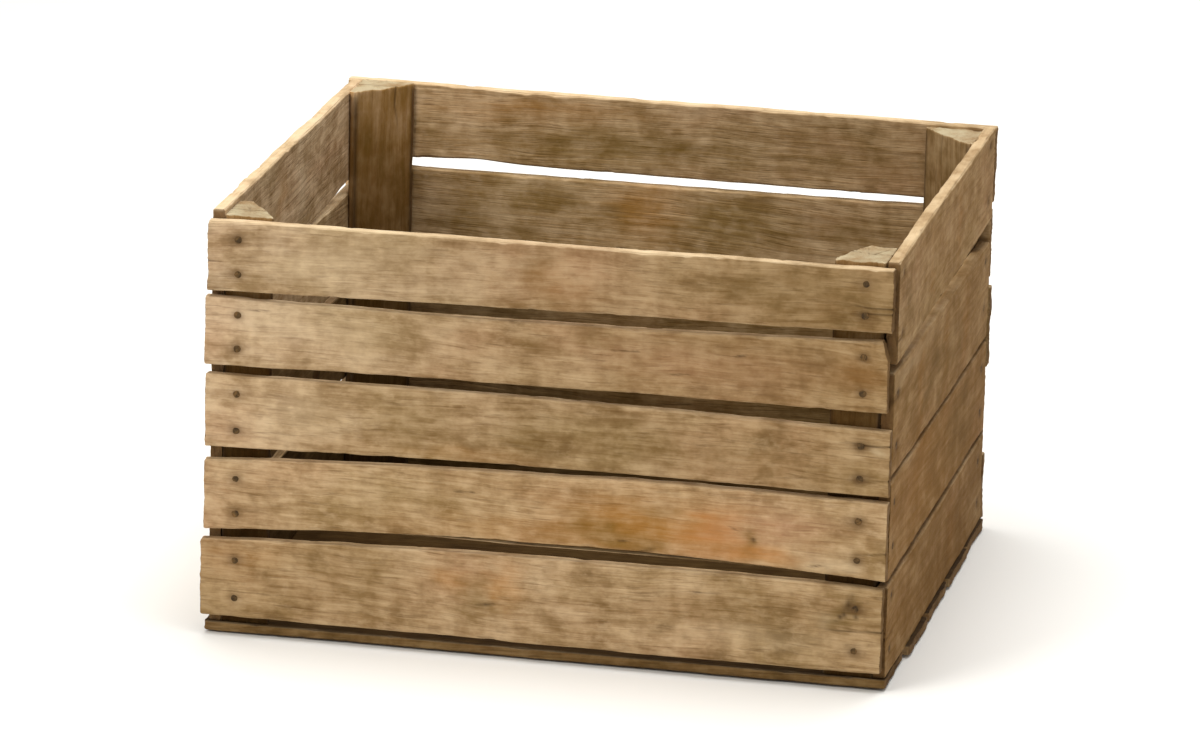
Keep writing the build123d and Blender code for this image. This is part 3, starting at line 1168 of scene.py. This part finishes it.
def wood_material(name, end_color, end_share):
    """Weathered sawn wood. Its end faces take end_color."""
    g = Graph(name)
    grain = g.attribute("grain").outputs["Vector"]
    marks, stains, tone = g.attribute("marks"), g.attribute("stains"), g.attribute("tone")
    dark, rust, worn = g.parts(marks.outputs["Color"])
    shade, grey, end = g.parts(tone.outputs["Color"])
    knot = g.math("MULTIPLY", marks.outputs["Alpha"], KNOT_RANGE)
    wood = wood_patterns(g, grain)

    color = wood_color(g, wood, grey)
    color = add_stains(g, color, wood, stains)
    color = add_knots(g, color, wood, knot)

    # Each piece's own depth of colour, which also carries its painted shade and painted light: the darker,
    # the warmer.
    own = g.level(tone.outputs["Alpha"], 0, 1, 0.95, 1.05)
    lightness = g.math("MULTIPLY", g.math("MULTIPLY", shade, SHADE_RANGE), own)
    green, blue = g.math("POWER", lightness, 1.12), g.math("POWER", lightness, 1.45)
    tint = g.node("ShaderNodeCombineColor", lightness, green, blue).outputs[0]
    color = g.mix(1.0, color, tint, "MULTIPLY")

    # End grain, pale worn rims with a painted highlight, nail stains, and dark marks: splits, cracks, notches
    # and the painted shade along the posts' edges.
    end_grain = g.mix(g.level(wood.dirt, 0.4, 0.7), end_color, srgb(128, 98, 62))
    color = g.mix(g.math("MULTIPLY", end, end_share), color, end_grain)
    # Painted highlight, partly: the pale worn colour shows mostly on faces that point up, where the light
    # falls.
    facing_up = g.level(g.parts(g.node("ShaderNodeNewGeometry").outputs["Normal"])[2], 0.1, 0.8)
    wear_and_highlight_share = g.math("MULTIPLY", worn, g.level(wood.dirt, 0.6, 0.35, 0.35, 0.95))
    wear_and_highlight_share = g.math("MULTIPLY", wear_and_highlight_share, g.math("MULTIPLY_ADD", facing_up, 0.85, 0.15))
    color = g.mix(wear_and_highlight_share, color, srgb(206, 184, 150))
    color = g.mix(g.math("MULTIPLY", rust, g.level(wood.streak, 0, 1, 0.6, 1.0)), color, srgb(84, 60, 36))
    color = g.mix(g.math("MULTIPLY", dark, 0.8), color, srgb(48, 30, 16))

    hairs = g.level(wood.hair, 0.58, 0.74)
    height = g.weighted(
        (wood.fibre, 0.4), (wood.rings, 0.12), (wood.streak, 0.4), (wood.sawn, 0.2), (hairs, -0.5)
    )
    return g.surface(color, g.level(wood.fibre, 0, 1, 0.76, 0.92), height, 0.35 * MM, specular=0.08)


def nail_material():
    g = Graph("nail_iron")
    place = g.node("ShaderNodeTexCoord").outputs["Object"]
    pits = g.noise(place, (900, 900, 900), 4.0, 0.65)
    bloom = g.noise(place, (260, 260, 260), 3.0, 0.6)
    color = g.ramp(bloom, (0.3, srgb(58, 44, 28)), (0.5, srgb(84, 64, 38)), (0.68, srgb(116, 86, 50)))
    color = g.mix(g.level(pits, 0.5, 0.7, 0.0, 0.5), color, srgb(40, 30, 18))
    return g.surface(color, g.level(pits, 0.3, 0.7, 0.75, 0.95), pits, 0.25 * MM, specular=0.2, metallic=0.1)


def floor_material():
    g = Graph("studio_floor")
    place = g.node("ShaderNodeTexCoord").outputs["Object"]
    drift = g.noise(place, (1.5, 1.5, 1.5), 2.0)
    color = g.mix(drift, srgb(232, 231, 228), srgb(238, 237, 234))
    return g.surface(color, 0.85, g.noise(place, (240, 240, 240), 3.0), 0.02 * MM, specular=0.1)


board_wood = wood_material("board_wood", srgb(88, 62, 36), 0.85)
post_wood = wood_material("post_wood", srgb(164, 152, 124), 0.9)
nail_iron = nail_material()

# ---- The crate ----

for node in sorted(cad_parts):
    if "_board_" in node:
        add_timber(node, node.split("_board_")[0], board_wood)
    elif node.startswith("corner_post_"):
        add_timber(node, None, post_wood)
for wall in OUTWARDS:
    add_nails(wall, nail_iron)

# ---- The studio ----

FLOOR_SIZE = 14.0
LIGHT_TARGET = Vector((0, 0, 0.14))
SKY_COLOR = (1.0, 0.995, 0.985, 1)
SKY_STRENGTH = 0.42
CAMERA_PLACE = Vector((1.115, -5.326, 1.703))
CAMERA_ROLL = 0.0243
CAMERA_REACH = 60.0
LENS = 233.7
AIM_SHIFT = Vector((-0.0063, 0, -0.0018))  # puts the crate where it is in the picture


def add_floor(height):
    mesh = bpy.data.meshes.new("studio_floor")
    half = FLOOR_SIZE / 2
    corners = [(x, y, height) for x, y in ((-half, -half), (half, -half), (half, half), (-half, half))]
    mesh.from_pydata(corners, [], [(0, 1, 2, 3)])
    mesh.materials.append(floor_material())
    floor = bpy.data.objects.new("studio_floor", mesh)
    bpy.context.scene.collection.objects.link(floor)


def add_light(name, place, size, power, color):
    """A soft square light that points at the crate."""
    light = bpy.data.lights.new(name, "AREA")
    light.shape = "SQUARE"
    light.size = size
    light.energy = power
    light.color = color
    lamp = bpy.data.objects.new(name, light)
    lamp.location = place
    lamp.rotation_euler = (LIGHT_TARGET - Vector(place)).to_track_quat("-Z", "Y").to_euler()
    bpy.context.scene.collection.objects.link(lamp)


def add_camera():
    camera = bpy.data.objects.new("camera", bpy.data.cameras.new("camera"))
    target = (cad_box[0] + cad_box[1]) / 2 + AIM_SHIFT
    look = (target - CAMERA_PLACE).to_track_quat("-Z", "Y").to_matrix()
    turn = look @ Matrix.Rotation(CAMERA_ROLL, 3, "Z")
    camera.matrix_world = Matrix.Translation(CAMERA_PLACE) @ turn.to_4x4()
    camera.data.lens = LENS
    camera.data.clip_end = CAMERA_REACH
    bpy.context.scene.collection.objects.link(camera)
    bpy.context.scene.camera = camera


def set_world():
    world = bpy.data.worlds.new("studio")
    world.use_nodes = True
    background = world.node_tree.nodes["Background"]
    background.inputs["Color"].default_value = SKY_COLOR
    background.inputs["Strength"].default_value = SKY_STRENGTH
    bpy.context.scene.world = world


shown_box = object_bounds()
add_floor(shown_box[0][2])
add_light("key_light", (-1.9, -2.6, 2.3), size=1.5, power=64.5, color=(1.0, 0.98, 0.94))
add_light("top_light", (0.0, 0.1, 2.8), size=2.2, power=88, color=(1.0, 0.985, 0.95))
add_light("fill_light", (2.6, -1.4, 1.3), size=1.6, power=3, color=(1.0, 0.98, 0.95))
add_light("back_light", (0.8, 2.8, 1.9), size=1.8, power=30, color=(0.98, 0.99, 1.0))
set_world()
add_camera()
bpy.context.scene.view_settings.view_transform = "Standard"
